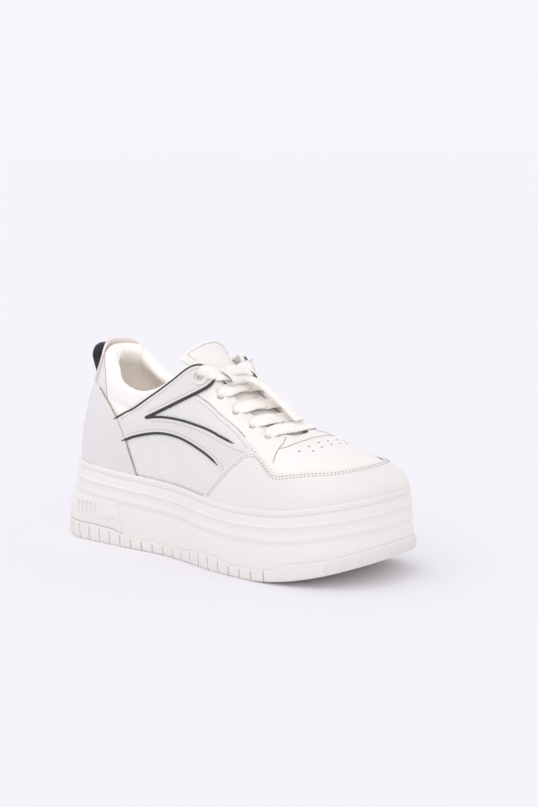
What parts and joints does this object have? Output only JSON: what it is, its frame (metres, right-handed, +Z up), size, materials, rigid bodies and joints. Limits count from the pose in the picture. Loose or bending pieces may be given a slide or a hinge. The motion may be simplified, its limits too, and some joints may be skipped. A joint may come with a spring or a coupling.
{
  "type": "platform sneaker",
  "caption": "Low-cut platform lace-up sneaker for the right foot with a thick foam midsole, a notched rubber outsole, a padded collar, a tongue and a heel pull loop.",
  "frame": {"origin": "centre of the whole shoe's bounding box in plan, on the floor under the tread", "axes": "+X along the shoe from heel to toe, -Y the outer (lateral) side, +Y the inner (medial) side, +Z up"},
  "size_m": [0.275, 0.1038, 0.1434],
  "materials": {
    "outsole": "matte",
    "midsole": "matte",
    "insole": "matte",
    "leather": "satin",
    "overlay": "satin",
    "webbing": "matte",
    "lace": "matte"
  },
  "bodies": {
    "root": {"outsole": "outsole", "midsole": "midsole", "insole": "insole", "upper": "leather", "toe_cap": "overlay", "heel_counter": "overlay", "heel_tab": "overlay", "pull_loop": "webbing", "tongue": "leather", "lace_bar_1": "lace", "lace_cross_2": "lace", "lace_cross_3": "lace", "lace_cross_4": "lace", "lace_top": "lace", "lace_knot": "lace", "lace_tail": "lace"}
  },
  "joints": []
}
